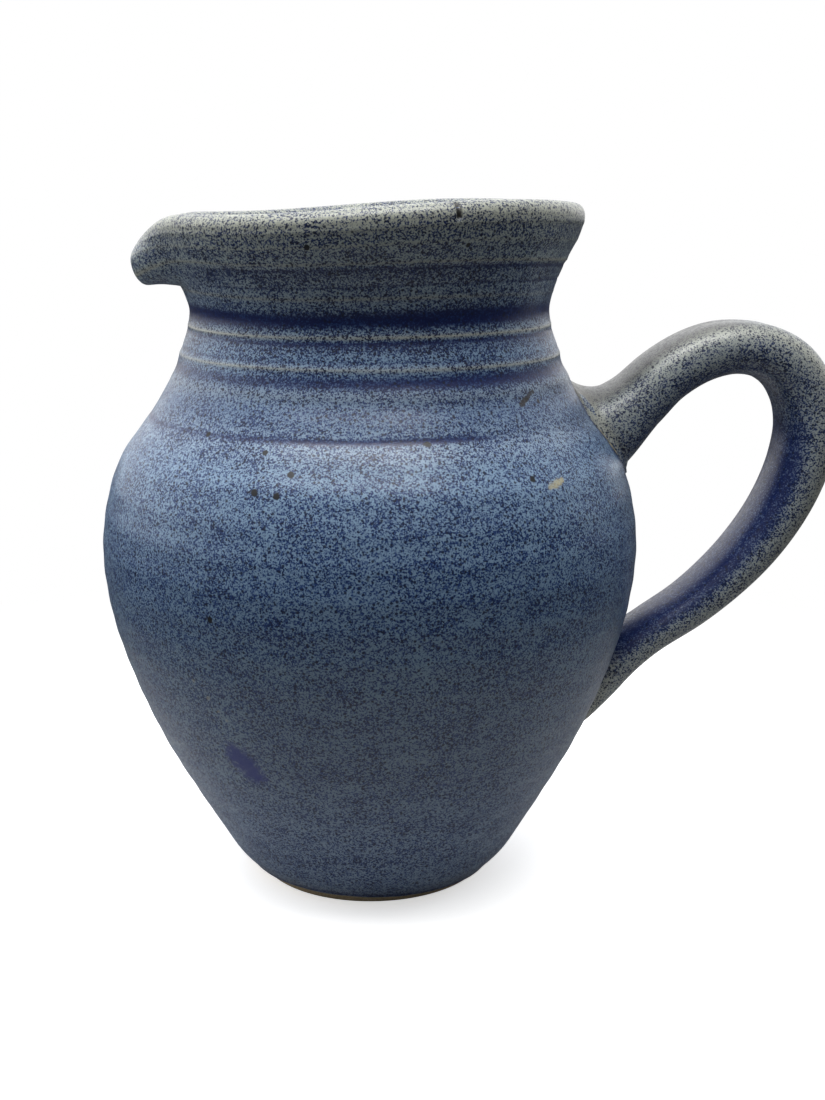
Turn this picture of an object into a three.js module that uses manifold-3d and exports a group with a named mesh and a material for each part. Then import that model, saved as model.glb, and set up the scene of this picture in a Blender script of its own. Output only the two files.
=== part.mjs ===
// A wheel-thrown stoneware pitcher: a round body with a pulled spout, a pulled strap handle luted on
// with slip, and the fired glaze coats. Millimetres, +Z up. The body's axis is Z, the foot stands on
// Z = 0, the handle is towards +X and the spout towards -X.
import * as THREE from "three";
import { mergeVertices } from "three/addons/utils/BufferGeometryUtils.js";
import Module from "manifold-3d";

const wasm = await Module();
wasm.setup();

// Driving dimensions
const LIP_TOP = 200;
const LIP_HALF_WALL = 3.4;
const LIP_RADIUS = 57.6;
const GLAZE = 0.6;
const GAP = 0.3;
const SLIP = 1.2;
const SLIP_MARGIN = 1.6;
const FLOOR = 8.2;
const FOOT_RADIUS = 34.2;
const FACETS_AROUND = 42;
const CROWDING = 0.592;
const NUDGE = 0.01;

// Depths below the glazed surface of each layer's faces; a negative depth stands proud of it
const CLAY_DEPTH = GLAZE + GAP;
const SLIP_BACK = CLAY_DEPTH - GAP;
const SLIP_FRONT = SLIP_BACK - SLIP;
const HANDLE_BACK = SLIP_FRONT - GAP;

// The glazed outside from the foot to the lip, as [radius, height]
const outside = new THREE.SplineCurve([
  [34.7, 0],
  [38.8, 4.2],
  [43, 9],
  [47.8, 17],
  [54.2, 28],
  [63.3, 45],
  [71.4, 65],
  [76.9, 85],
  [78.2, 105],
  [73.5, 125],
  [63.4, 140],
  [57.2, 150],
  [54.3, 158],
  [52.1, 165],
  [51.8, 171],
  [53.2, 177],
  [56.1, 184],
  [59.2, 190],
  [60.9, 195],
].map(([r, z]) => new THREE.Vector2(r, z)));

// The glazed inside from the lip to the middle of the floor
const inside = new THREE.SplineCurve([
  [54.3, 195.6],
  [51.2, 188],
  [46.6, 178],
  [45.1, 169],
  [47.9, 157],
  [56.4, 141],
  [66.4, 126],
  [71.5, 106],
  [70, 85],
  [63.8, 64],
  [54.8, 44],
  [43.5, 25],
  [34, 14],
  [18, FLOOR + 0.6],
  [0, FLOOR],
].map(([r, z]) => new THREE.Vector2(r, z)));

// Where an outline's rows lie, as shares of its length: each stretch is [from, to, steps]
function stops(...stretches) {
  const shares = stretches.flatMap(([from, to, steps]) => (
    Array.from({ length: steps }, (_, i) => from + ((to - from) * i) / steps)
  ));
  return [...shares, 1];
}

// A row of the glazed face: its place in the profile and the direction in which the profile runs there
function outlineRows(curve, shares) {
  return shares.map((share) => ({ at: curve.getPointAt(share), along: curve.getTangentAt(share) }));
}

// Rows round the lip, at angles in degrees from the outward radial direction
function lipRows(angles) {
  return angles.map((degrees) => {
    const angle = THREE.MathUtils.degToRad(degrees);
    const out = new THREE.Vector2(Math.cos(angle), Math.sin(angle));
    return {
      at: new THREE.Vector2(LIP_RADIUS, LIP_TOP - LIP_HALF_WALL).addScaledVector(out, LIP_HALF_WALL),
      along: new THREE.Vector2(-out.y, out.x),
    };
  });
}

// The outside glaze starts just above the foot; rows are closer together where the spout bulges out
const GLAZE_START = 0.011;
const skinRows = outlineRows(outside, stops([GLAZE_START, 0.86, 12], [0.86, 0.94, 6], [0.94, 1, 3]));
const linerRows = outlineRows(inside, stops([0, 0.05, 3], [0.05, 0.14, 6], [0.14, 1, 9]));
const outsideRows = [...skinRows, ...lipRows([0, 33, 66, 100])];
const insideRows = [...lipRows([106, 130, 155, 180]), ...linerRows];

// The spout: the neck is pushed out into a rounded lobe, which tucks back in above its belly, and the
// lip over it is drawn down. Heights are those of the round form before the spout is made.
const SPOUT_HALF_ANGLE = THREE.MathUtils.degToRad(15);
const SPOUT_REACH = 10.6;
const SPOUT_TUCK = 0.5;
const SPOUT_DROOP = 5.8;
const SPOUT_FOOT = 171;
const DROOP_START = 174;
const SPOUT_BELLY = 181;
const TUCK_START = 184;
const SPOUT_LIP = 198;

function spoutShare(angle) {
  return Math.exp(-((angle / SPOUT_HALF_ANGLE) ** 2));
}

function drawSpout(point, share) {
  const { smoothstep } = THREE.MathUtils;
  const swell = smoothstep(point.z, SPOUT_FOOT, SPOUT_BELLY);
  const tuck = 1 - SPOUT_TUCK * smoothstep(point.z, TUCK_START, SPOUT_LIP);
  const radius = Math.hypot(point.x, point.y);
  const scale = 1 + (share * SPOUT_REACH * swell * tuck) / Math.max(radius, 1);
  point.x *= scale;
  point.y *= scale;
  point.z -= share * SPOUT_DROOP * smoothstep(point.z, DROOP_START, SPOUT_LIP);
}

// The rim is not level: it dips towards the spout, sits lower over the handle and sags in three places
const RIM_START = 150;
const RIM_TILT = 1.9;
const RIM_CROWN = 1.2;
const RIM_SAG = 0.8;

function settleRim(point, angle) {
  const share = THREE.MathUtils.smoothstep(point.z, RIM_START, LIP_TOP);
  const tilt = RIM_TILT * (Math.cos(angle) - 1);
  const crown = (RIM_CROWN * (Math.sin(angle) ** 2 - 1)) / 2;
  const sag = RIM_SAG * Math.cos(3 * angle);
  point.z += share * (tilt + crown - sag);
}

// A point of the glazed face, at an angle measured from the spout
function facePoint(radius, height, angle) {
  const point = new THREE.Vector3(-radius * Math.cos(angle), -radius * Math.sin(angle), height);
  drawSpout(point, spoutShare(angle));
  settleRim(point, angle + Math.PI);
  return point;
}

// The layers part a little more in the throat under the spout, where the coarse facets bend sharply
const THROAT_SLACK = 1;
const THROAT_START = 155;
const THROAT_END = 168;

// The same point moved into the wall by depth, square to the face
function wallPoint({ at, along, depth }, angle) {
  const point = facePoint(at.x, at.y, angle);
  if (at.x === 0) return point.setZ(point.z + along.x * depth);
  const ahead = facePoint(at.x + along.x * NUDGE, at.y + along.y * NUDGE, angle);
  const beside = facePoint(at.x, at.y, angle + NUDGE / at.x);
  const out = beside.sub(point).cross(ahead.sub(point)).normalize();
  const throat = spoutShare(angle) * THREE.MathUtils.smoothstep(at.y, THROAT_START, THROAT_END);
  return point.addScaledVector(out, -depth * (1 + THROAT_SLACK * throat));
}

// Rows at one depth, in the order of the profile
function atDepth(rows, depth) {
  return rows.map((row) => ({ ...row, depth }));
}

function axisRow(height) {
  return { at: new THREE.Vector2(0, height), along: new THREE.Vector2(1, 0), depth: 0 };
}

// A closed profile turned about Z: its rows start and end on the axis, or close on themselves. The
// facets are crowded towards the spout.
function turned(rows) {
  const places = [];
  const corners = [];
  for (let column = 0; column < FACETS_AROUND; column += 1) {
    const even = (2 * Math.PI * column) / FACETS_AROUND - Math.PI;
    const angle = even - (CROWDING * Math.sin(even) * (1 + Math.cos(even))) / 2;
    rows.forEach((row) => places.push(...wallPoint(row, angle)));
  }
  const count = rows.length;
  const joins = rows[0].at.x === 0 ? count - 1 : count;
  for (let column = 0; column < FACETS_AROUND; column += 1) {
    const here = column * count;
    const beside = ((column + 1) % FACETS_AROUND) * count;
    for (let row = 0; row < joins; row += 1) {
      const next = (row + 1) % count;
      corners.push(here + row, beside + row, beside + next);
      corners.push(here + row, beside + next, here + next);
    }
  }
  const geometry = new THREE.BufferGeometry();
  geometry.setAttribute("position", new THREE.Float32BufferAttribute(places, 3));
  geometry.setIndex(corners);
  return toSolid(geometry);
}

// Geometry to and from a solid that can be cut and joined
function toSolid(geometry) {
  const merged = mergeVertices(geometry);
  const corners = [];
  for (let i = 0; i < merged.index.count; i += 3) {
    const [a, b, c] = [0, 1, 2].map((k) => merged.index.getX(i + k));
    if (a !== b && b !== c && c !== a) corners.push(a, b, c);
  }
  return new wasm.Manifold(new wasm.Mesh({
    numProp: 3,
    vertProperties: new Float32Array(merged.attributes.position.array),
    triVerts: new Uint32Array(corners),
  }));
}

function toGeometry(solid) {
  const mesh = solid.getMesh();
  const geometry = new THREE.BufferGeometry();
  geometry.setAttribute("position", new THREE.BufferAttribute(mesh.vertProperties, 3));
  geometry.setIndex(new THREE.BufferAttribute(mesh.triVerts, 1));
  return geometry;
}

// The whole round form as one solid, its surface at a depth below the glazed outside
function core(depth) {
  const bottom = axisRow(skinRows[0].at.y);
  const top = axisRow(skinRows[skinRows.length - 1].at.y);
  return turned([bottom, ...atDepth(skinRows, depth), top]);
}

// The thrown clay wall: foot, belly, neck, lip and floor in one piece
function bodySolid() {
  const footEdge = { ...axisRow(0), at: new THREE.Vector2(FOOT_RADIUS, 0) };
  return turned([axisRow(0), footEdge, ...atDepth([...outsideRows, ...insideRows], CLAY_DEPTH)]);
}

// The glazed handle's centre line and size, as [x, z, thickness in its plane, width across it]
const handleStations = [
  [60, 127.5, 28, 33],
  [69.3, 133.6, 23.5, 32],
  [78.7, 141.4, 17.8, 28],
  [86.3, 148.6, 16.6, 26.5],
  [94.4, 153.8, 16.4, 26],
  [102, 156.6, 16.4, 25.5],
  [109, 157.3, 16.2, 25],
  [116.6, 156, 16.6, 25],
  [124, 151.4, 17.6, 25],
  [129.2, 143.3, 18.1, 25],
  [131, 133.5, 18, 25],
  [129.6, 123.8, 17.4, 24.8],
  [126.6, 114.8, 16.8, 24.6],
  [121.8, 105.4, 16, 24.4],
  [115.4, 96.3, 15.2, 24.2],
  [107.8, 88, 14.1, 24],
  [97.4, 79, 13, 23.6],
  [85, 70.8, 12.4, 23.4],
  [76.5, 64.6, 13.6, 24.4],
  [69.3, 57.8, 15, 25],
  [62.3, 48.6, 12, 23],
  [54.5, 40, 8, 17],
  [46, 34, 5, 12],
];
const handleLine = new THREE.CatmullRomCurve3(
  handleStations.map(([x, z]) => new THREE.Vector3(x, 0, z)),
);
const handleSize = new THREE.CatmullRomCurve3(
  handleStations.map(([, , thick, wide]) => new THREE.Vector3(thick, wide, 0)),
);
const HANDLE_STEPS = 30;
const HANDLE_SIDES = 14;
const ROOT_STEPS = 10;
const STRAP_POWER = 0.9;

// A sine or cosine flattened towards the corners, which turns an oval section into a fuller one
function fuller(wave) {
  return Math.sign(wave) * Math.abs(wave) ** STRAP_POWER;
}

// The handle as a closed sweep of rounded strap sections, grown outwards all round
function handleSweep(grow, firstStep = 0, lastStep = HANDLE_STEPS) {
  const steps = lastStep - firstStep;
  const places = [...handleLine.getPoint(firstStep / HANDLE_STEPS)];
  const corners = [];
  for (let i = firstStep; i <= lastStep; i += 1) {
    const t = i / HANDLE_STEPS;
    const middle = handleLine.getPoint(t);
    const along = handleLine.getTangent(t);
    const size = handleSize.getPoint(t);
    for (let k = 0; k < HANDLE_SIDES; k += 1) {
      const turn = (2 * Math.PI * k) / HANDLE_SIDES;
      const up = fuller(Math.cos(turn)) * (size.x / 2 + grow);
      const side = fuller(Math.sin(turn)) * (size.y / 2 + grow);
      places.push(middle.x - along.z * up, side, middle.z + along.x * up);
    }
  }
  places.push(...handleLine.getPoint(lastStep / HANDLE_STEPS));
  const last = places.length / 3 - 1;
  const lastRing = last - HANDLE_SIDES;
  for (let k = 0; k < HANDLE_SIDES; k += 1) {
    const next = (k + 1) % HANDLE_SIDES;
    corners.push(0, 1 + k, 1 + next);
    corners.push(last, lastRing + next, lastRing + k);
    for (let i = 0; i < steps; i += 1) {
      const ring = 1 + i * HANDLE_SIDES;
      const ahead = ring + HANDLE_SIDES;
      corners.push(ring + k, ahead + k, ahead + next);
      corners.push(ring + k, ahead + next, ring + next);
    }
  }
  const geometry = new THREE.BufferGeometry();
  geometry.setAttribute("position", new THREE.Float32BufferAttribute(places, 3));
  geometry.setIndex(corners);
  return toSolid(geometry);
}

// The handle stops where the slip under each end begins
const handleCore = core(HANDLE_BACK);

function handleGlazeSolid() {
  return handleSweep(0).subtract(handleSweep(-GLAZE)).subtract(handleCore);
}

// A pad of slip between the wall and one end of the handle
function slipSolid(firstStep, lastStep) {
  const layer = core(SLIP_FRONT).subtract(core(SLIP_BACK));
  return handleSweep(SLIP_MARGIN, firstStep, lastStep).intersect(layer);
}

// The glaze outside: from just above the foot over the lip, with windows where the handle is luted on
function outerGlazeSolid() {
  const coat = turned([...atDepth(outsideRows, 0), ...atDepth(outsideRows, GLAZE).reverse()]);
  return coat.subtract(handleSweep(SLIP_MARGIN + GAP));
}

// The liner glaze inside: from the lip down to the floor
function innerGlazeSolid() {
  return turned([...atDepth(insideRows, GLAZE).reverse(), ...atDepth(insideRows, 0)]);
}

// Finishes
const clay = { color: 0xb9a78a, roughness: 0.85 };
const slip = { color: 0xa8987c, roughness: 0.9 };
const blueGlaze = { color: 0x5d6f8f, roughness: 0.38 };
const linerGlaze = { color: 0x7c8794, roughness: 0.3 };

const pitcher = new THREE.Group();

function addPiece(name, solid, finish) {
  const material = new THREE.MeshStandardMaterial({ metalness: 0, ...finish });
  const piece = new THREE.Mesh(toGeometry(solid), material);
  piece.name = name;
  pitcher.add(piece);
}

addPiece("body", bodySolid(), clay);
addPiece("handle", handleSweep(-CLAY_DEPTH).subtract(handleCore), clay);
addPiece("slip_upper", slipSolid(0, ROOT_STEPS), slip);
addPiece("slip_lower", slipSolid(HANDLE_STEPS - ROOT_STEPS, HANDLE_STEPS), slip);
addPiece("glaze_outside", outerGlazeSolid(), blueGlaze);
addPiece("glaze_inside", innerGlazeSolid(), linerGlaze);
addPiece("glaze_handle", handleGlazeSolid(), blueGlaze);

export default pitcher;
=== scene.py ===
"""A wheel-thrown stoneware pitcher in speckled blue glaze, on a plain pale floor in soft light."""

import math

import bpy
import numpy as np
from mathutils import Euler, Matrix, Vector


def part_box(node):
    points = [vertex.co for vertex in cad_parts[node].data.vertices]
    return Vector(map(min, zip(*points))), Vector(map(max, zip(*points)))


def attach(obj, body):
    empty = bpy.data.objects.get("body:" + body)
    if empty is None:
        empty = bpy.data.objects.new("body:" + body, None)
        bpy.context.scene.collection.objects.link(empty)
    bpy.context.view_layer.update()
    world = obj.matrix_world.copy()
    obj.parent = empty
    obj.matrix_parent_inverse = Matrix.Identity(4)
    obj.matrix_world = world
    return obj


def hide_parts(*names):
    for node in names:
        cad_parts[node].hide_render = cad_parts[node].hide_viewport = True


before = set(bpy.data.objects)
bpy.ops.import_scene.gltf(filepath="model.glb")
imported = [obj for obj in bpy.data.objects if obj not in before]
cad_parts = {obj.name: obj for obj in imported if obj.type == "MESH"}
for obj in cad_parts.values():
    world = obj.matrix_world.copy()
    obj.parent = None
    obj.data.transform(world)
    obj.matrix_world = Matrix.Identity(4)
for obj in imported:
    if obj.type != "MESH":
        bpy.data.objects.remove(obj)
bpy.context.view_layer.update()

# The form is worked out in millimetres, as the CAD model is, and turned into metres when a mesh is made.
MM = 0.001
FLOOR_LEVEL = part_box("body")[0].z

# Camera: where it stands and how it is turned
CAMERA_DISTANCE = 0.437
CAMERA_HEIGHT = 0.201
CAMERA_SIDE_TURN = math.radians(3.0)
CAMERA_YAW = math.radians(4.62)
CAMERA_PITCH = math.radians(13.35)
CAMERA_LENS = 49.09

# The round form, as in the CAD model: [radius, height] of the glazed outside and inside
LIP_TOP = 200.0
LIP_HALF_WALL = 3.4
LIP_RADIUS = 57.6
OUTSIDE = [
    (34.7, 0), (38.8, 4.2), (43, 9), (47.8, 17), (54.2, 28), (63.3, 45), (71.4, 65), (76.9, 85),
    (78.2, 105), (73.5, 125), (63.4, 140), (57.2, 150), (54.3, 158), (52.1, 165), (51.8, 171),
    (53.2, 177), (56.1, 184), (59.2, 190), (60.9, 195),
]
INSIDE = [
    (54.3, 195.6), (51.2, 188), (46.6, 178), (45.1, 169), (47.9, 157), (56.4, 141), (66.4, 126),
    (71.5, 106), (70, 85), (63.8, 64), (54.8, 44), (43.5, 25), (34, 14), (18, 8.8), (0, 8.2),
]
FOOT_RADIUS = 34.2
GLAZE = 0.6
NUDGE = 0.02

# The spout and the settled rim, as in the CAD model
SPOUT_HALF_ANGLE = math.radians(15)
SPOUT_REACH = 9.5
SPOUT_TUCK = 0.62
SPOUT_DROOP = 6.0
SPOUT_FOOT, DROOP_START, SPOUT_BELLY, TUCK_START, SPOUT_LIP = 179, 182, 192.5, 186.5, 199.5
# The underside of the spout hangs lower; between these radii the sag grows, so the inside keeps its wall
SPOUT_SAG, SAG_HEIGHT, SAG_SPREAD = 6.0, 185.0, 4.5
SAG_RADII = (49, 54.5)
RIM_START = 150
RIM_TILT, RIM_CROWN, RIM_SAG = 1.9, 1.2, 0.8

# The glazed handle's centre line and size: [x, z, thickness in its plane, width across it]
HANDLE = [
    (60, 127.5, 28, 33), (69.3, 133.6, 23.5, 32), (78.7, 141.4, 17.8, 28), (86.3, 148.6, 16.6, 26.5),
    (94.4, 153.8, 16.4, 26), (102, 156.6, 16.4, 25.5), (109, 157.3, 16.2, 25), (116.6, 156, 16.6, 25),
    (124, 151.4, 17.6, 25), (129.2, 143.3, 18.1, 25), (131, 133.5, 18, 25), (129.6, 123.8, 17.4, 24.8),
    (126.6, 114.8, 16.8, 24.6), (121.8, 105.4, 16, 24.4), (115.4, 96.3, 15.2, 24.2),
    (107.8, 88, 14.1, 24), (97.4, 79, 13, 23.6), (85, 70.8, 12.4, 23.4), (76.5, 64.6, 13.6, 24.4),
    (69.3, 57.8, 15, 25), (62.3, 48.6, 12, 23), (54.5, 40, 8, 17), (46, 34, 5, 12),
]

# Throwing ridges: height, tilt, how far they stand out, fade above and below, how bare the glaze wears
RIDGES = [
    (194.6, 0.4, 0.10, 0.7, 0.3, 0.30),
    (190.6, 0.8, 0.06, 0.6, 0.4, 0.40),
    (185.6, 1.4, 0.26, 0.7, 0.4, 1.00),
    (176.2, 1.2, 0.14, 0.8, 0.5, 0.55),
    (165.7, 0.3, 0.24, 0.8, 0.65, 1.20),
    (157.2, 0.3, 0.26, 0.8, 0.7, 0.80),
    (150.4, 0.1, 0.30, 2.6, 2.6, 0.22),
]
# Grooves where the glaze pools: height, tilt, depth, half width, how deep the blue gets, and the
# degrees from the front at which the groove fades on the handle side
GROOVES = [
    (188.6, 0.8, 0.06, 1.1, 0.25, 180),
    (184.2, 1.4, 0.12, 0.6, 0.50, 180),
    (182.3, 1.4, 0.02, 1.6, 0.30, 180),
    (179.4, 0.6, 0.16, 0.4, 0.60, 180),
    (170.2, 0.2, 0.28, 2.5, 1.15, 180),
    (164.0, 0.3, 0.04, 0.7, 0.60, 180),
    (162.6, 0.3, 0.02, 1.6, 0.35, 180),
    (159.0, 0.2, 0.06, 0.6, 0.35, 180),
    (153.7, 0.2, 0.26, 2.0, 0.85, 180),
    (140.2, -0.4, 0.12, 0.9, 0.85, 12),
]


def smoothstep(x, start, end):
    t = np.clip((np.asarray(x, float) - start) / (end - start), 0, 1)
    return t * t * (3 - 2 * t)


def bell(x, middle, half_width):
    return np.exp(-(((x - middle) / half_width) ** 2))


def wander(angle, seed, waves=5):
    """A gentle wave round the pot, between about -1 and 1, that closes on itself"""
    draw = np.random.default_rng(seed)
    total = np.zeros_like(np.asarray(angle, float))
    for k in range(1, waves + 1):
        total = total + draw.uniform(0.5, 1) / k * np.sin(k * angle + draw.uniform(0, 2 * math.pi))
    return total / 1.6


# ---- The round form ----

def through(points, per_span=40):
    """A smooth line through points, of even Catmull-Rom spans"""
    p = np.array(points, float)
    p = np.vstack([p[:1], p, p[-1:]])
    t = np.linspace(0, 1, per_span, endpoint=False)[:, None]
    spans = []
    for p0, p1, p2, p3 in zip(p, p[1:], p[2:], p[3:]):
        leave, arrive = (p2 - p0) / 2, (p3 - p1) / 2
        cubic = 2 * p1 - 2 * p2 + leave + arrive
        square = 3 * p2 - 3 * p1 - 2 * leave - arrive
        spans.append(cubic * t**3 + square * t**2 + leave * t + p1)
    return np.vstack([*spans, p[-1:]])


def lip_arc(first, last, count=60):
    """The rounded lip between two angles in degrees from the outward direction"""
    angle = np.radians(np.linspace(first, last, count))
    radius = LIP_RADIUS + LIP_HALF_WALL * np.cos(angle)
    height = LIP_TOP - LIP_HALF_WALL + LIP_HALF_WALL * np.sin(angle)
    return np.stack([radius, height], 1)


class Skin:
    """A face of the wall: an outline that gives its place and direction at any length along it"""

    def __init__(self, *parts):
        outline = np.vstack(parts)
        step = np.hypot(*np.diff(outline, axis=0).T)
        outline = outline[np.concatenate([[True], step > 1e-6])]
        length = np.concatenate([[0], np.cumsum(np.hypot(*np.diff(outline, axis=0).T))])
        self.fine = np.linspace(0, length[-1], 6000)
        self.radius = np.interp(self.fine, length, outline[:, 0])
        self.height = np.interp(self.fine, length, outline[:, 1])
        along = np.stack([np.gradient(self.radius, self.fine), np.gradient(self.height, self.fine)], 1)
        self.along = along / np.hypot(*along.T)[:, None]
        self.length = length[-1]

    def rows(self, spacing):
        """Lengths along the face, spaced as spacing(height) says"""
        crowding = np.concatenate([[0], np.cumsum(1 / spacing(self.height[1:]))])
        count = int(round(crowding[-1] * self.fine[1]))
        return np.interp(np.linspace(0, crowding[-1], count), crowding, self.fine)

    def at(self, length):
        """Radius and height of the face, and the direction it runs in"""
        values = (self.radius, self.height, self.along[:, 0], self.along[:, 1])
        return [np.interp(length, self.fine, v) for v in values]


def formed(radius, height, angle):
    """The round form with its spout pushed out and its rim settled; angle is from the spout"""
    turned = (angle + math.pi) % (2 * math.pi) - math.pi
    share = np.exp(-((turned / SPOUT_HALF_ANGLE) ** 2))
    swell = np.sqrt(1 - np.clip((SPOUT_BELLY - height) / (SPOUT_BELLY - SPOUT_FOOT), 0, 1) ** 2)
    tuck = 1 - SPOUT_TUCK * smoothstep(height, TUCK_START, SPOUT_LIP)
    reach = radius + share * SPOUT_REACH * swell * tuck * np.minimum(radius, 1)
    droop = share * SPOUT_DROOP * smoothstep(height, DROOP_START, SPOUT_LIP)
    outer = smoothstep(radius, *SAG_RADII)
    droop = droop + share * SPOUT_SAG * bell(height, SAG_HEIGHT, SAG_SPREAD) * outer
    z = height - droop
    tilt = -RIM_TILT * (np.cos(angle) + 1)
    crown = RIM_CROWN * (np.sin(angle) ** 2 - 1) / 2
    sag = -RIM_SAG * np.cos(3 * angle)
    z = z + smoothstep(z, RIM_START, LIP_TOP) * (tilt + crown - sag)
    return np.stack([-reach * np.cos(angle), -reach * np.sin(angle), z], -1)


def wall(skin, lengths, angles, raised):
    """Points of the wall on a grid of lengths along its outline and angles, raised square to its face"""
    lengths = lengths[:, None] if lengths.ndim == 1 else lengths
    r, z, dr, dz = (value + 0 * angles for value in skin.at(lengths))
    angle = angles + 0 * r
    point = formed(r, z, angle)
    ahead = formed(r + dr * NUDGE, z + dz * NUDGE, angle)
    beside = formed(r, z, angle + NUDGE / np.maximum(r, 1))
    out = np.cross(beside - point, ahead - point)
    out /= np.maximum(np.linalg.norm(out, axis=-1, keepdims=True), 1e-12)
    return point + out * (raised + 0 * r)[..., None]


WALL_LINE = through(OUTSIDE)
WALL_SKIN = Skin(WALL_LINE)


# ---- Meshes ----

def grid_faces(rows, columns, closed):
    """Quads of a grid whose columns close on themselves, and whose rows do too if closed"""
    i = np.arange(rows if closed else rows - 1)[:, None]
    j = np.arange(columns)[None, :]
    above, beside = (i + 1) % rows, (j + 1) % columns
    corners = [i * columns + j, i * columns + beside, above * columns + beside, above * columns + j]
    return np.stack([c + 0 * (i + j) for c in corners], -1).reshape(-1, 4).tolist()


def cap_faces(ring_start, columns, tip, upward):
    """Triangles from a ring to a point in its middle"""
    ring = [ring_start + k for k in range(columns)]
    pairs = zip(ring, ring[1:] + ring[:1])
    return [[a, b, tip] if upward else [b, a, tip] for a, b in pairs]


def make_piece(name, points, faces, material, tones=None):
    """A smooth-shaded mesh, in metres, with its tones as named values on its corners"""
    mesh = bpy.data.meshes.new(name)
    mesh.from_pydata((np.asarray(points).reshape(-1, 3) * MM).tolist(), [], faces)
    for key, values in (tones or {}).items():
        layer = mesh.attributes.new(key, "FLOAT", "POINT")
        layer.data.foreach_set("value", np.asarray(values, np.float32).ravel())
    mesh.update()
    mesh.shade_smooth()
    mesh.materials.append(material)
    piece = bpy.data.objects.new(name, mesh)
    bpy.context.scene.collection.objects.link(piece)
    return piece


def kept(piece, slot, *nodes):
    """Says what the piece rides on and hides the CAD nodes it stands for; slot is not used"""
    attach(piece, "root")
    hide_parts(*nodes)
    return piece


# ---- Material nodes ----

class Nodes:
    """Short ways to add shader nodes; a value may be a socket or a plain number or colour"""

    def __init__(self, owner):
        owner.use_nodes = True
        self.nodes = owner.node_tree.nodes
        self.links = owner.node_tree.links
        self.nodes.clear()

    def add(self, kind, inputs=None, **settings):
        node = self.nodes.new("ShaderNode" + kind)
        for key, value in settings.items():
            setattr(node, key, value)
        for key, value in (inputs or {}).items():
            self.put(node.inputs[key], value)
        return node

    def put(self, socket, value):
        if isinstance(value, bpy.types.NodeSocket):
            self.links.new(value, socket)
        elif isinstance(value, tuple) and len(value) == 3 and socket.type == "RGBA":
            socket.default_value = (*value, 1)
        else:
            socket.default_value = value

    def math(self, operation, a, b=0.0, clamp=False):
        return self.add("Math", {0: a, 1: b}, operation=operation, use_clamp=clamp).outputs[0]


class Tree(Nodes):
    """The nodes of a material, placed by its object's own coordinates"""

    def __init__(self, name):
        self.material = bpy.data.materials.new(name)
        super().__init__(self.material)
        self.place = self.add("TexCoord").outputs["Object"]

    def swing(self, value, reach):
        """A value between 0 and 1, moved to swing evenly about zero"""
        return self.math("MULTIPLY", self.math("SUBTRACT", value, 0.5), reach)

    def random(self, cells):
        """A random value for each cell of a Voronoi pattern"""
        return self.add("SeparateColor", {"Color": cells.outputs["Color"]}).outputs[0]

    def fade(self, value, start, end, low=0.0, high=1.0):
        limits = {"Value": value, "From Min": start, "From Max": end, "To Min": low, "To Max": high}
        return self.add("MapRange", limits, interpolation_type="SMOOTHSTEP").outputs["Result"]

    def mix(self, share, a, b, blend="MIX"):
        node = self.add("Mix", {0: share, 6: a, 7: b}, data_type="RGBA", blend_type=blend)
        return node.outputs[2]

    def tone(self, name):
        return self.add("Attribute", attribute_name=name).outputs["Fac"]

    def near(self, point, radius, soft=0.5):
        """One inside a small uneven spot about a point in millimetres, fading to nothing at its edge"""
        spot = tuple(c * MM for c in point)
        away = self.add("VectorMath", {0: self.place, 1: spot}, operation="DISTANCE").outputs["Value"]
        uneven = self.swing(self.noise(700, 1.0), radius * MM)
        return self.fade(self.math("ADD", away, uneven), radius * MM, radius * soft * MM)

    def noise(self, scale, detail=2.0, roughness=0.5, place=None):
        inputs = {"Vector": place or self.place, "Scale": scale, "Detail": detail, "Roughness": roughness}
        return self.add("TexNoise", inputs).outputs["Fac"]

    def stretched(self, scale):
        """The place, squeezed along each axis by scale"""
        return self.add("Mapping", {"Vector": self.place, "Scale": scale}).outputs["Vector"]

    def ramp(self, value, stops):
        node = self.add("ValToRGB", {"Fac": value})
        elements = node.color_ramp.elements
        while len(elements) < len(stops):
            elements.new(0.5)
        for element, (at, colour) in zip(elements, stops):
            element.position = at
            element.color = (*colour, 1)
        return node.outputs["Color"]

    def finish(self, shader_inputs):
        shader = self.add("BsdfPrincipled", shader_inputs)
        self.add("OutputMaterial", {"Surface": shader.outputs["BSDF"]})
        return self.material


def bumped(tree, height, distance, strength=1.0, normal=None):
    inputs = {"Height": height, "Distance": distance, "Strength": strength}
    if normal is not None:
        inputs["Normal"] = normal
    return tree.add("Bump", inputs).outputs["Normal"]


# Colours of the fired glaze and clay
COBALT = (0.008, 0.036, 0.155)
NAVY = (0.003, 0.007, 0.030)
DEEP = (0.002, 0.009, 0.075)
BEIGE = (0.38, 0.38, 0.30)
RUBBED = (0.46, 0.49, 0.47)
# Near black: the iron specks in thin glaze, and also the painted shade inside the crack in the lip
IRON_SPECK_AND_SHADE = (0.006, 0.005, 0.004)
CLAY = (0.52, 0.42, 0.27)
SLIP_TONE = (0.30, 0.28, 0.20)


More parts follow.
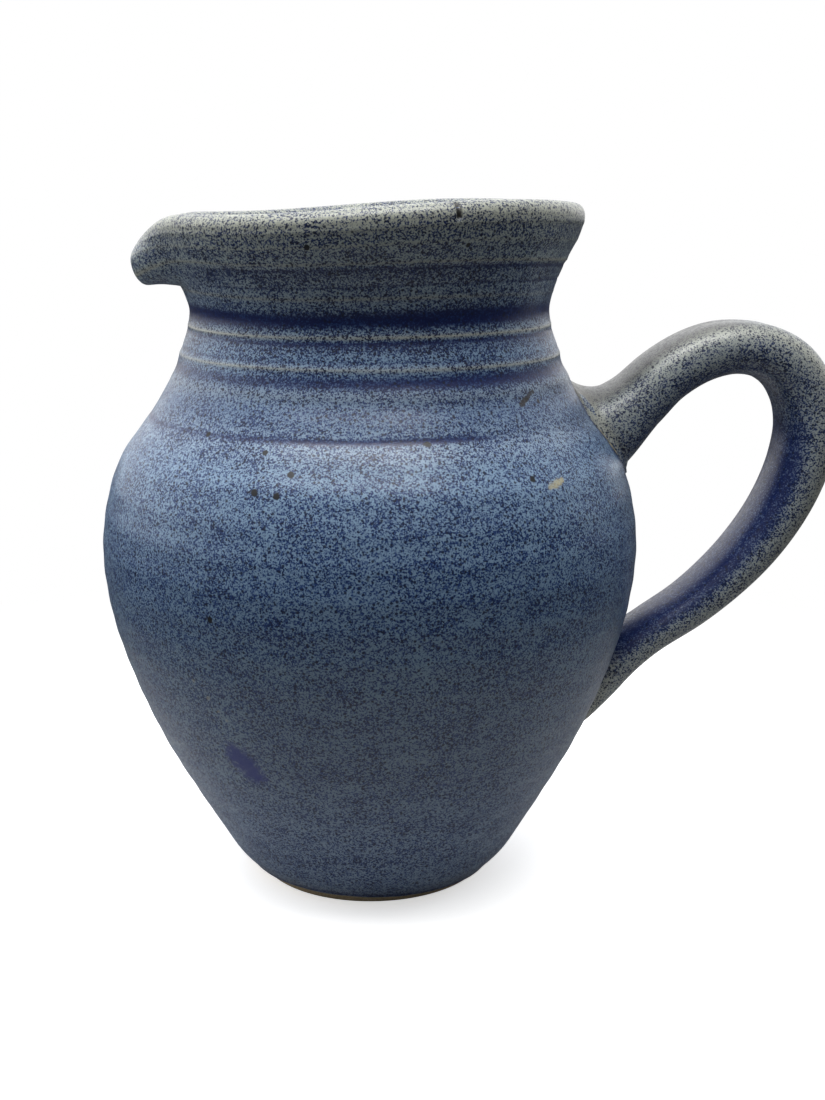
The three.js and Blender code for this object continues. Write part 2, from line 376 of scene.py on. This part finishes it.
def speckled(tree, ground, thin, pool, depth=0.95):
    """The glaze's colour, a ground full of cobalt specks with navy pins, worn to beige or pooled to blue"""
    blotch = tree.noise(2300, 1.2, 0.5)
    grains = tree.add("TexVoronoi", {"Vector": tree.place, "Scale": 2500.0, "Randomness": 1.0})
    cloud = tree.noise(85, 3.0, 0.6, tree.stretched((1.0, 1.0, 2.2)))
    level = tree.math("ADD", blotch, tree.swing(cloud, 0.40))
    level = tree.math("ADD", level, tree.swing(tree.random(grains), 0.44))
    level = tree.math("ADD", level, tree.math("MULTIPLY", pool, 0.22))
    level = tree.math("SUBTRACT", level, tree.math("MULTIPLY", thin, 0.10))
    bright = tree.mix(1.0, ground, (1.35, 1.35, 1.30), "MULTIPLY")
    pale = tree.mix(tree.fade(level, 0.28, 0.48), bright, ground)
    colour = tree.mix(tree.fade(level, 0.42, 0.62), pale, COBALT)
    colour = tree.mix(tree.fade(level, 0.62, 0.78), colour, NAVY)
    worn = tree.mix(tree.fade(level, 0.52, 0.64), BEIGE, IRON_SPECK_AND_SHADE)
    colour = tree.mix(thin, colour, worn)
    colour = tree.mix(tree.fade(thin, 0.55, 0.9, 0.0, 0.8), colour, RUBBED)
    deep = tree.mix(tree.fade(level, 0.42, 0.66), COBALT, DEEP)
    colour = tree.mix(tree.fade(pool, 0.10, 0.75, 0.0, depth), colour, deep)
    cells = tree.add("TexVoronoi", {"Vector": tree.place, "Scale": 860.0, "Randomness": 1.0})
    round_pin = tree.fade(cells.outputs["Distance"], 0.42, 0.24)
    pins = tree.math("MULTIPLY", round_pin, tree.fade(tree.random(cells), 0.66, 0.70))
    return tree.mix(tree.math("MULTIPLY", pins, 0.9), colour, NAVY), blotch


def on_wall(az, z):
    """A point of the glazed wall, by degrees round from the front and height"""
    radius = np.interp(z, WALL_LINE[:, 1], WALL_LINE[:, 0])
    return formed(radius, z, math.radians(az + 90))


# Marks of the firing on the wall: degrees from the front, height, size in millimetres
SMUDGE = [(-35.8, 54.5, 5.4), (-34.0, 52.0, 6.2), (-32.4, 49.0, 5.4)]
IRON_STREAK = [
    (39.4, 146.8, 0.9), (40.4, 147.2, 1.1), (41.4, 147.7, 1.2), (42.4, 148.2, 1.2), (43.4, 148.7, 1.1),
    (44.6, 149.2, 0.9), (45.8, 149.6, 0.8), (46.8, 147.2, 0.8),
]
BEIGE_SPOT = [
    (36.9, 127.0, 1.1), (38.0, 127.2, 1.5), (39.1, 127.5, 1.6), (40.2, 127.8, 1.5), (41.2, 128.1, 1.1),
]
BLACK_DOTS = [
    (33.0, 129.5, 1.1), (-27.0, 128.0, 1.3), (-22.0, 127.5, 1.1), (-20.0, 132.5, 1.1), (-45.0, 140.0, 1.0),
    (10.0, 139.5, 1.0), (-27.0, 137.0, 0.9), (-35.0, 95.0, 0.9), (-18.0, 191.0, 0.8), (22.0, 189.0, 0.8),
]
SCRATCHES = [(-42.0, 76.0, 0.7), (-39.0, 71.5, 0.9), (-37.0, 68.0, 0.7), (-35.5, 65.5, 0.6)]


def marked(tree, colour, marks, tint, share=1.0, soft=0.5):
    """The colour with a set of marks laid over it"""
    for az, z, size in marks:
        spot = tree.near(on_wall(az, z), size, soft)
        colour = tree.mix(tree.math("MULTIPLY", spot, share), colour, tint)
    return colour


def glaze_finish(tree, colour, blotch):
    """The satin skin of the blue glaze: fine orange peel and uneven gloss"""
    peel = tree.noise(420, 2.0, 0.5)
    normal = bumped(tree, peel, 0.00016, 0.5)
    normal = bumped(tree, blotch, 0.00006, 0.5, normal)
    rough = tree.fade(tree.noise(900, 2.0, 0.6), 0.3, 0.7, 0.28, 0.42)
    return tree.finish({"Base Color": colour, "Roughness": rough, "Normal": normal, "IOR": 1.52})


def body_glaze():
    tree = Tree("blue_glaze")
    # Ground colour by height; the lighter stops at 0.66 and 0.69, on the shoulder about 132 to 138 mm up,
    # are a painted highlight
    ground = tree.ramp(tree.tone("height"), [
        (0.00, (0.16, 0.22, 0.31)), (0.12, (0.15, 0.21, 0.30)), (0.26, (0.11, 0.16, 0.22)),
        (0.40, (0.11, 0.17, 0.24)), (0.52, (0.12, 0.19, 0.29)), (0.66, (0.17, 0.26, 0.38)),
        (0.69, (0.20, 0.28, 0.39)), (0.73, (0.11, 0.175, 0.28)), (0.80, (0.16, 0.25, 0.38)),
        (0.87, (0.20, 0.27, 0.35)),
        (0.94, (0.28, 0.34, 0.36)), (1.00, (0.34, 0.36, 0.32)),
    ])
    colour, blotch = speckled(tree, ground, tree.tone("thin"), tree.tone("pool"))
    colour = marked(tree, colour, SMUDGE, (0.003, 0.016, 0.160), 0.95, 0.2)
    colour = marked(tree, colour, SCRATCHES, BEIGE, 0.4)
    colour = marked(tree, colour, BEIGE_SPOT, (0.46, 0.42, 0.26), 0.65, 0.3)
    colour = marked(tree, colour, IRON_STREAK, (0.015, 0.010, 0.006), 0.85)
    colour = marked(tree, colour, BLACK_DOTS, (0.004, 0.005, 0.008), 1.0, 0.7)
    # Painted shade: the crack in the lip is laid near black, as the shade inside it
    colour = tree.mix(tree.tone("painted_shade"), colour, IRON_SPECK_AND_SHADE)
    return glaze_finish(tree, colour, blotch)


def handle_coat_glaze():
    tree = Tree("handle_glaze")
    colour, blotch = speckled(tree, (0.25, 0.29, 0.31), tree.tone("thin"), tree.tone("pool"), 0.75)
    # Painted shade and dark reflection: the shade tone lays dark grey-brown on the outer face of the rising
    # arm
    colour = tree.mix(tree.tone("painted_shade"), colour, (0.055, 0.050, 0.042))
    return glaze_finish(tree, colour, blotch)


def fired_slip():
    tree = Tree("fired_slip")
    grain = tree.noise(1300, 3.0, 0.6)
    colour = tree.ramp(grain, [(0.35, (0.10, 0.10, 0.09)), (0.55, SLIP_TONE), (0.75, (0.36, 0.34, 0.25))])
    normal = bumped(tree, grain, 0.0002, 0.6)
    return tree.finish({"Base Color": colour, "Roughness": 0.6, "Normal": normal})


def liner_glaze():
    tree = Tree("liner_glaze")
    colour, blotch = speckled(tree, (0.17, 0.22, 0.30), tree.tone("thin"), tree.tone("pool"))
    normal = bumped(tree, tree.noise(300, 2.0, 0.5), 0.0001, 0.5)
    return tree.finish({"Base Color": colour, "Roughness": 0.28, "Normal": normal, "IOR": 1.52})


def bare_clay():
    tree = Tree("bare_clay")
    grit = tree.noise(1400, 4.0, 0.7)
    colour = tree.ramp(grit, [(0.35, (0.36, 0.27, 0.16)), (0.55, CLAY), (0.75, (0.62, 0.53, 0.38))])
    toast = tree.noise(60, 2.0, 0.6)
    colour = tree.mix(tree.fade(toast, 0.5, 0.8, 0.0, 0.5), colour, (0.35, 0.21, 0.10))
    normal = bumped(tree, grit, 0.00025, 0.8)
    return tree.finish({"Base Color": colour, "Roughness": 0.85, "Normal": normal})


# ---- The wall's relief and tones ----

def ring_heights(ring, angles):
    """Where a ring runs, at each angle from the spout"""
    height, tilt = ring[0], ring[1]
    return height - tilt * np.sin(angles - math.pi / 2) + 0.25 * wander(angles, int(height * 10))


def wall_detail(z, past, angles):
    """How far the thrown face stands out and the tones of its glaze, by height and length past the lip"""
    below_lip = 1 - smoothstep(past, -1, 1)
    raised, thin, pool = (np.zeros_like(z + angles) for _ in range(3))
    for ring in RIDGES:
        out, above, below, bare = ring[2:]
        gap = z - ring_heights(ring, angles)
        crest = np.exp(-np.where(gap > 0, gap / above, -gap / below) ** 1.4)
        strength = 0.75 + 0.35 * wander(angles, int(ring[0]))
        raised += out * crest * strength
        thin += bare * crest ** 1.5 * strength
    for ring in GROOVES:
        deep, half_width, blue, fades = ring[2:]
        dip = bell(z, ring_heights(ring, angles), half_width)
        strength = 0.80 + 0.35 * wander(angles, int(ring[0]) + 7)
        strength = strength * (1 - 0.9 * smoothstep(np.degrees(angles) - 90, fades, fades + 26))
        raised -= deep * dip * strength
        pool += blue * dip * strength
    fingers = np.sin((z + angles * 8.5 / (2 * math.pi)) * 2 * math.pi / 8.5)
    raised += 0.07 * fingers * smoothstep(z, 12, 30) * (1 - smoothstep(z, 150, 170))
    raised += 0.16 * wander(angles + z / 60, 3) * smoothstep(z, 6, 30)
    off_spout = 1 - 0.9 * np.exp(-((angles / (1.5 * SPOUT_HALF_ANGLE)) ** 2)) * smoothstep(z, 172, 177)
    return raised * below_lip * off_spout, thin * below_lip, pool * below_lip * off_spout


CRACK_ANGLE = math.radians(90 + 18.7)
CRACK_HALF_WIDTH = 0.80
COLUMNS = 250


def columns():
    """Angles round the pot from the spout, with a few more across the crack in the lip"""
    even = np.linspace(-math.pi, math.pi, COLUMNS, endpoint=False)
    crack = CRACK_ANGLE + np.linspace(-1.3, 1.3, 12) / LIP_RADIUS
    clear = np.abs(even - CRACK_ANGLE) > 1.7 / LIP_RADIUS
    return np.sort(np.concatenate([even[clear], crack]))


def outside_spacing(height):
    return np.interp(height, [0, 8, 20, 128, 138, 172, 200], [0.6, 1.0, 1.8, 1.6, 0.5, 0.42, 0.40])


def foot_edge(angles):
    """How far up the face the glaze stops: higher on the spout side, with small waves"""
    return 2.6 + 1.5 * np.cos(angles - 0.5) + 0.5 * wander(2 * angles, 12) + 0.25 * wander(7 * angles, 13)


def glaze_outside():
    """The blue coat: from a wavy edge above the foot, over the lip and a little way down inside it"""
    angles = columns()
    skin = Skin(through(OUTSIDE), lip_arc(0, 180), through(INSIDE)[:70])
    lip_at = Skin(through(OUTSIDE), lip_arc(0, 2, 3)).length
    rows = skin.rows(outside_spacing)[:, None]
    edge = foot_edge(angles)
    lengths = edge + rows * (1 - edge / skin.length)
    lengths = lengths * (1 - smoothstep(rows, 0, 30)) + rows * smoothstep(rows, 0, 30)
    lengths = np.maximum(lengths, edge + rows * 0.5)
    z = skin.at(lengths)[1]
    past = lengths - lip_at
    raised, thin, pool = wall_detail(z, past, angles)
    beige = 0.46 * np.exp(-((past - 0.5) / 2.6) ** 2) + 0.25 * smoothstep(past, 0, 4)
    thin = np.maximum(thin, beige * (0.85 + 0.25 * wander(angles, 55)))
    from_edge = lengths - edge
    raised = raised - 0.5 * np.exp(-from_edge / 0.35) + 0.18 * bell(from_edge, 1.1, 0.7)
    thin = thin + 0.5 * np.exp(-from_edge / 0.7)
    pool = pool + 0.5 * bell(from_edge, 1.8, 1.0)
    raised = raised - 0.5 * np.exp(-(skin.length - lengths) / 0.5)
    bare_wall = wall(skin, lengths, angles, 0.0)
    pool = pool + 0.9 * beside_seam(bare_wall, seam_line(True), 1.9)
    pool = pool + 0.8 * beside_seam(bare_wall, seam_line(False), 1.6)
    # The crack in the lip: a shallow slot in the coat, whose tone paints the shade inside it near black
    slot = np.exp(-(((angles - CRACK_ANGLE) * LIP_RADIUS / CRACK_HALF_WIDTH) ** 4))
    slot = slot * smoothstep(past, -1.3, -0.8) * (1 - smoothstep(past, 4.8, 5.3))
    raised = raised - 0.7 * slot
    front = wall(skin, lengths, angles, raised)
    back_rows = skin.rows(lambda height: 3.6 + 0 * height)
    back_rows = back_rows[(back_rows > 5) & (back_rows < skin.length - 1)][::-1]
    back = wall(skin, back_rows, angles, -GLAZE)
    points = np.vstack([front.reshape(-1, 3), back.reshape(-1, 3)])
    hidden = np.zeros((len(back_rows), len(angles)))
    tones = {
        "height": np.vstack([z, hidden + skin.at(back_rows)[1][:, None]]) / LIP_TOP,
        "thin": np.vstack([np.clip(thin, 0, 1), hidden]),
        "pool": np.vstack([np.clip(pool, 0, 1), hidden]),
        "painted_shade": np.vstack([slot, hidden]),
    }
    faces = grid_faces(len(front) + len(back), len(angles), closed=True)
    piece = make_piece("glaze_outside_coat", points, faces, body_glaze(), tones)
    return kept(piece, "blue_glaze", "glaze_outside")


def glaze_inside():
    """The liner coat, from under the edge of the blue coat down to the middle of the floor"""
    angles = np.linspace(-math.pi, math.pi, 160, endpoint=False)
    skin = Skin(lip_arc(110, 180), through(INSIDE))
    rows = skin.rows(lambda height: np.interp(height, [8, 20, 150, 200], [0.9, 1.4, 1.2, 0.8]))[:-1]
    r, z = (value[:, None] for value in skin.at(rows)[:2])
    grooves = np.sin((z + angles * 9 / (2 * math.pi)) * 2 * math.pi / 9)
    spiral = np.sin((r + angles * 9 / (2 * math.pi)) * 2 * math.pi / 9)
    raised = -0.25 + 0.12 * grooves * smoothstep(z, 20, 40)
    raised = raised + 0.25 * spiral * (1 - smoothstep(z, 9, 20)) * smoothstep(r, 2, 10)
    thin = 0.35 * smoothstep(grooves, 0.6, 1.0) * smoothstep(z, 20, 40)
    pool = 0.7 * (1 - smoothstep(z, 9, 16)) + 0.25 * smoothstep(-grooves, 0.5, 1)
    front = wall(skin, rows, angles, raised)
    back = wall(skin, rows[::-1], angles, -GLAZE)
    middle = [[0, 0, INSIDE[-1][1] - 0.25], [0, 0, INSIDE[-1][1] - GLAZE]]
    points = np.vstack([front.reshape(-1, 3), back.reshape(-1, 3), middle])
    count, n = len(rows), len(angles)
    faces = grid_faces(count, n, closed=False)
    faces += [[q + count * n for q in face] for face in grid_faces(count, n, closed=False)]
    last, tip = 2 * count * n - n, 2 * count * n
    faces += [[last + k, last + (k + 1) % n, (k + 1) % n, k] for k in range(n)]
    faces += cap_faces((count - 1) * n, n, tip, True) + cap_faces(count * n, n, tip + 1, False)
    tones = {"thin": np.zeros(len(points)), "pool": np.zeros(len(points))}
    tones["thin"][: count * n] = np.clip(thin, 0, 1).ravel()
    tones["pool"][: count * n] = np.clip(pool + 0 * raised, 0, 1).ravel()
    piece = make_piece("glaze_inside_coat", points, faces, liner_glaze(), tones)
    return kept(piece, "liner_glaze", "glaze_inside")


def clay_body():
    """The clay wall under the glaze, with its bare foot"""
    angles = np.linspace(-math.pi, math.pi, 144, endpoint=False)
    outside = Skin(through(OUTSIDE))
    inside = Skin(lip_arc(0, 180), through(INSIDE))
    outer = outside.rows(lambda height: np.interp(height, [0, 8, 20, 165, 175], [0.5, 0.6, 3, 3, 0.8]))
    inner = inside.rows(lambda height: np.interp(height, [165, 175], [3, 0.8]))[:-1]
    bare = 1 - smoothstep(outer[:, None], foot_edge(angles) - 0.2, foot_edge(angles) + 0.6)
    outer_points = wall(outside, outer, angles, -0.75 + 0.55 * bare)
    inner_points = wall(inside, inner, angles, -0.85)
    rim = np.stack([-FOOT_RADIUS * np.cos(angles), -FOOT_RADIUS * np.sin(angles), 0 * angles], 1)
    rows = 2 + len(outer) + len(inner)
    middle = [[0, 0, 0], [0, 0, INSIDE[-1][1] - 0.75]]
    points = [rim * 0.93, rim, outer_points.reshape(-1, 3), inner_points.reshape(-1, 3), middle]
    n = len(angles)
    faces = grid_faces(rows, n, closed=False)
    faces += cap_faces(0, n, rows * n, False) + cap_faces((rows - 1) * n, n, rows * n + 1, True)
    piece = make_piece("clay_wall", np.vstack(points), faces, bare_clay())
    return kept(piece, "stoneware", "body")


# ---- The handle ----

def strap_line(stations, t):
    """Points on a smooth line through stations, of centripetal Catmull-Rom spans, at shares t of the way"""
    p = np.array(stations, float)
    p = np.vstack([2 * p[0] - p[1], p, 2 * p[-1] - p[-2]])
    spans = len(p) - 3
    span = np.minimum((t * spans).astype(int), spans - 1)
    w = (t * spans - span)[:, None]
    p0, p1, p2, p3 = (p[span + k] for k in range(4))
    d0, d1, d2 = (np.sqrt(np.linalg.norm(b - a, axis=1))[:, None] for a, b in ((p0, p1), (p1, p2), (p2, p3)))
    leave = ((p1 - p0) / d0 - (p2 - p0) / (d0 + d1) + (p2 - p1) / d1) * d1
    arrive = ((p2 - p1) / d1 - (p3 - p1) / (d1 + d2) + (p3 - p2) / d2) * d1
    cubic = 2 * p1 - 2 * p2 + leave + arrive
    square = 3 * p2 - 3 * p1 - 2 * leave - arrive
    return cubic * w**3 + square * w**2 + leave * w + p1


def fuller(wave):
    return wave * (1.1 - 0.1 * wave**2)


def off_wall(points):
    """How far points stand off the glazed wall, and the share of that distance that is sideways"""
    reach = np.hypot(points[..., 0], points[..., 1])
    radius = np.interp(points[..., 2], WALL_LINE[:, 1], WALL_LINE[:, 0])
    lean = np.interp(points[..., 2], WALL_SKIN.height, WALL_SKIN.along[:, 1])
    return (reach - radius) * lean, reach, radius


def fillet(gap, radius):
    """How far a fillet of some radius spreads the handle at a distance from the wall"""
    near = np.clip(1 - gap / np.maximum(radius, 1e-6), 0, 1)
    return radius * (1 - np.sqrt(1 - near**2))


def handle_surface(t, turn, grow, depth):
    """The handle's face on a grid of shares of its length and turns round it; it ends inside the wall"""
    line = strap_line([(x, z) for x, z, _, _ in HANDLE], t)
    size = strap_line([(thick, wide) for _, _, thick, wide in HANDLE], t)
    ahead = strap_line([(x, z) for x, z, _, _ in HANDLE], np.minimum(t + 1e-4, 1))
    behind = strap_line([(x, z) for x, z, _, _ in HANDLE], np.maximum(t - 1e-4, 0))
    along = (ahead - behind) / np.linalg.norm(ahead - behind, axis=1)[:, None]
    c, s = np.cos(turn)[None, :], np.sin(turn)[None, :]
    thick, wide = size[:, :1] / 2 + grow, size[:, 1:] / 2 + grow
    hollow = 0.9 * np.exp(-((s / 0.35) ** 2)) * (c > 0) * smoothstep(t, 0.12, 0.3)[:, None]

    def placed(spread):
        up = fuller(c) * thick + c * (spread - hollow)
        side = fuller(s) * wide + s * spread
        x = line[:, :1] - along[:, 1:] * up
        z = line[:, 1:] + along[:, :1] * up
        return np.stack([x, side + 0 * x, z], -1)

    root = 1.2 + 8.5 * np.clip(c, 0, 1) ** 2 + 1.2 * np.clip(-c, 0, 1) ** 2
    radius = np.where((t < 0.5)[:, None], root, 0.8)
    points = placed(fillet(off_wall(placed(0))[0], radius))
    gap, reach, wall_radius = off_wall(points)
    held = np.maximum(reach, wall_radius - depth) / np.maximum(reach, 1e-6)
    points[..., :2] *= held[..., None]
    return points, gap


HANDLE_SHARES = np.linspace(0, 1, 300)
HANDLE_TURNS = np.linspace(0, 2 * math.pi, 96, endpoint=False)


def handle_glaze():
    """The handle's blue coat"""
    t, turn = HANDLE_SHARES[:, None], HANDLE_TURNS[None, :]
    c, s = np.cos(turn), np.sin(turn)
    front, gap = handle_surface(HANDLE_SHARES, HANDLE_TURNS, 0, 1.2)
    back, _ = handle_surface(HANDLE_SHARES[::-1][::3], HANDLE_TURNS, -GLAZE, 1.4)
    worn = 0.34 * smoothstep(c, -0.5, 0.5) * (1 - 0.5 * smoothstep(c, 0.75, 1.0))
    # A pale band along the crest of the upper arch: partly glaze thinned on the crest, partly a painted
    # highlight
    worn = worn + 0.30 * bell(c, 0.62, 0.22) * smoothstep(t, 0.08, 0.2) * (1 - smoothstep(t, 0.5, 0.7))
    seam = 0.32 * np.exp(-((gap - 1.6) / 1.6) ** 2)
    # Deep blue on the inner side, growing on the lower arm: partly glaze pooled there, partly painted shade
    # on the side turned to the wall
    pooled_and_shaded = smoothstep(-c, -0.15, 0.75) * (0.30 + 0.60 * smoothstep(t, 0.38, 0.55))
    # Painted shade and dark reflection on the outer face of the rising arm, near its root
    outer_face_shade = 0.75 * smoothstep(c, 0.60, 0.88) * (1 - smoothstep(t, 0.22, 0.38))
    hidden = np.zeros(back.shape[:2])
    tones = {
        "height": np.vstack([np.full(front.shape[:2], 0.93), hidden]),
        "thin": np.vstack([np.clip(worn + seam * (c > -0.6), 0, 1), hidden]),
        "pool": np.vstack([np.clip(pooled_and_shaded * (1 - seam) + 0 * t, 0, 1), hidden]),
        "painted_shade": np.vstack([outer_face_shade + 0 * t, hidden]),
    }
    points = np.vstack([front.reshape(-1, 3), back.reshape(-1, 3)])
    faces = grid_faces(len(front) + len(back), len(HANDLE_TURNS), closed=True)
    piece = make_piece("glaze_handle_coat", points, faces, handle_coat_glaze(), tones)
    return kept(piece, "blue_glaze", "glaze_handle")


def handle_clay():
    """The pulled clay strap under the glaze"""
    shares = np.linspace(0, 1, 120)
    turns = np.linspace(0, 2 * math.pi, 48, endpoint=False)
    face, _ = handle_surface(shares, turns, -0.9, 1.0)
    ends = [face[0].mean(0), face[-1].mean(0)]
    points = np.vstack([face.reshape(-1, 3), ends])
    n = len(turns)
    faces = grid_faces(len(shares), n, closed=False)
    faces += cap_faces(0, n, len(points) - 2, False)
    faces += cap_faces((len(shares) - 1) * n, n, len(points) - 1, True)
    return kept(make_piece("handle_strap", points, faces, bare_clay()), "stoneware", "handle")


def seam_line(upper):
    """Where the handle's face meets the wall, point by point round the handle"""
    points, gap = handle_surface(HANDLE_SHARES, HANDLE_TURNS, 0, 6)
    rows = range(len(gap)) if upper else range(len(gap) - 1, -1, -1)
    seam = np.zeros((len(HANDLE_TURNS), 3))
    for k in range(len(HANDLE_TURNS)):
        first = next(i for i in rows if gap[i, k] > 0)
        before = first - 1 if upper else first + 1
        share = gap[first, k] / (gap[first, k] - gap[before, k])
        seam[k] = points[first, k] * (1 - share) + points[before, k] * share
    return seam


def beside_seam(points, seam, reach):
    """One along a seam, fading away from it"""
    near = np.zeros(points.shape[:2])
    ahead = points[..., 0] > 20
    apart = np.min([np.linalg.norm(points[ahead] - s, axis=1) for s in seam], axis=0)
    near[ahead] = bell(apart, 0, reach)
    return near


def slip_pad(name, node, upper):
    """A lens of slip under one end of the handle, with a bead squeezed out along the seam"""
    seam = seam_line(upper)
    centre = seam.mean(0)

    def ring(spread, out):
        away = seam - centre
        points = centre + away * (1 + spread / np.linalg.norm(away, axis=1))[:, None]
        radius = np.interp(points[:, 2], WALL_LINE[:, 1], WALL_LINE[:, 0]) + out
        points[:, :2] *= (radius / np.hypot(points[:, 0], points[:, 1]))[:, None]
        return points

    bulge = 0.12 * wander(3 * HANDLE_TURNS, 31)
    ends = np.abs(np.cos(HANDLE_TURNS)) if upper else np.cos(HANDLE_TURNS) + 0.45
    sunk = (0.8 if upper else 1.4) * smoothstep(ends, 0.25, 0.6)
    layers = [(-3.0, 0.1), (-0.8, 0.35), (0.0, 0.32), (0.4, 0.15), (0.6, -0.1), (0.4, -0.9), (-3.0, -1.2)]
    rings = [ring(spread + bulge - sunk, out - sunk) for spread, out in layers]
    points = np.vstack([*rings, [rings[0].mean(0), rings[-1].mean(0)]])
    n = len(HANDLE_TURNS)
    faces = grid_faces(len(rings), n, closed=False)
    faces += cap_faces(0, n, len(points) - 2, False)
    faces += cap_faces((len(rings) - 1) * n, n, len(points) - 1, True)
    return kept(make_piece(name, points, faces, fired_slip()), "slip", node)


# ---- Stage ----

WHITE = (1.0, 1.0, 1.0)


def camera():
    data = bpy.data.cameras.new("camera")
    data.lens = CAMERA_LENS
    data.sensor_width = 36.0
    shot = bpy.data.objects.new("camera", data)
    across = -CAMERA_DISTANCE * math.sin(CAMERA_SIDE_TURN)
    back = -CAMERA_DISTANCE * math.cos(CAMERA_SIDE_TURN)
    shot.location = (across, back, CAMERA_HEIGHT)
    shot.rotation_euler = Euler((math.pi / 2 - CAMERA_PITCH, 0, -CAMERA_YAW))
    bpy.context.scene.collection.objects.link(shot)
    bpy.context.scene.camera = shot


def soft_box(name, place, target, width, height, power, mirrored=True):
    """A rectangular lamp the camera doesn't see; if not mirrored, it doesn't show as a highlight either"""
    data = bpy.data.lights.new(name, "AREA")
    data.shape = "RECTANGLE"
    data.size, data.size_y = width, height
    data.energy = power
    lamp = bpy.data.objects.new(name, data)
    lamp.location = place
    lamp.rotation_euler = (Vector(target) - Vector(place)).to_track_quat("-Z", "Y").to_euler()
    lamp.visible_camera = False
    lamp.visible_glossy = mirrored
    bpy.context.scene.collection.objects.link(lamp)


def lights():
    middle = (0, 0, 0.1)
    soft_box("top_box", (-0.08, -0.26, 1.1), middle, 1.0, 0.5, 10.0)
    soft_box("left_box", (-1.2, 0.30, 0.40), middle, 0.6, 0.8, 3.0, False)
    soft_box("right_box", (1.2, 0.50, 0.40), middle, 0.6, 0.8, 3.0, False)


def surroundings():
    """White to the eye; on the object, light that comes from above, behind and the sides"""
    world = bpy.data.worlds.new("surroundings")
    tree = Nodes(world)

    def glowing(value, start, end, low, high):
        limits = {"Value": value, "From Min": start, "From Max": end, "To Min": low, "To Max": high}
        return tree.add("MapRange", limits).outputs["Result"]

    way = tree.add("SeparateXYZ", {0: tree.add("TexCoord").outputs["Generated"]}).outputs
    lean = tree.add("Math", {0: way["X"], 1: -0.3, 2: way["Y"]}, operation="MULTIPLY_ADD").outputs[0]
    behind = glowing(lean, -0.45, 0.5, 0.03, 1.05)
    far_behind = glowing(lean, 0.35, 0.85, 0.0, 0.25)
    above = glowing(way["Z"], 0.1, 0.9, 0.0, 0.50)
    level = tree.math("ADD", tree.math("ADD", behind, far_behind), above)
    glow = tree.add("Background", {"Color": WHITE, "Strength": level})
    seen = tree.add("Background", {"Color": WHITE})
    to_eye = tree.add("LightPath").outputs["Is Camera Ray"]
    pick = tree.add("MixShader", {0: to_eye, 1: glow.outputs[0], 2: seen.outputs[0]})
    tree.add("OutputWorld", {"Surface": pick.outputs[0]})
    bpy.context.scene.world = world
    bpy.context.scene.view_settings.view_transform = "Standard"


def pale_floor():
    """A white floor that fades into the white behind it"""
    tree = Tree("pale_floor")
    to_eye = tree.add("LightPath").outputs["Is Camera Ray"]
    away = tree.add("VectorMath", {0: tree.place}, operation="LENGTH").outputs["Value"]
    white = tree.add("Emission", {"Color": WHITE, "Strength": 1.0})
    paper = tree.add("BsdfDiffuse", {"Color": (0.95, 0.95, 0.95)})
    lit = tree.add("Emission", {"Color": WHITE, "Strength": 0.55})
    near = tree.add("AddShader", {0: paper.outputs[0], 1: lit.outputs[0]})
    far = tree.fade(away, 0.12, 0.35)
    seen = tree.add("MixShader", {0: far, 1: near.outputs[0], 2: white.outputs[0]})
    edge = tree.mix(tree.fade(away, 0.05, 0.30), (0.42, 0.42, 0.42), (0.05, 0.05, 0.05))
    bounce = tree.add("BsdfDiffuse", {"Color": edge})
    pick = tree.add("MixShader", {0: to_eye, 1: bounce.outputs[0], 2: seen.outputs[0]})
    tree.add("OutputMaterial", {"Surface": pick.outputs[0]})
    half = 6.0
    corners = [(-half, -half), (half, -half), (half, half), (-half, half)]
    mesh = bpy.data.meshes.new("floor")
    mesh.from_pydata([(x, y, FLOOR_LEVEL) for x, y in corners], [], [(0, 1, 2, 3)])
    mesh.materials.append(tree.material)
    floor = bpy.data.objects.new("floor", mesh)
    bpy.context.scene.collection.objects.link(floor)


camera()
surroundings()
lights()
pale_floor()
glaze_outside()
glaze_inside()
clay_body()
handle_glaze()
handle_clay()
slip_pad("slip_pad_upper", "slip_upper", True)
slip_pad("slip_pad_lower", "slip_lower", False)
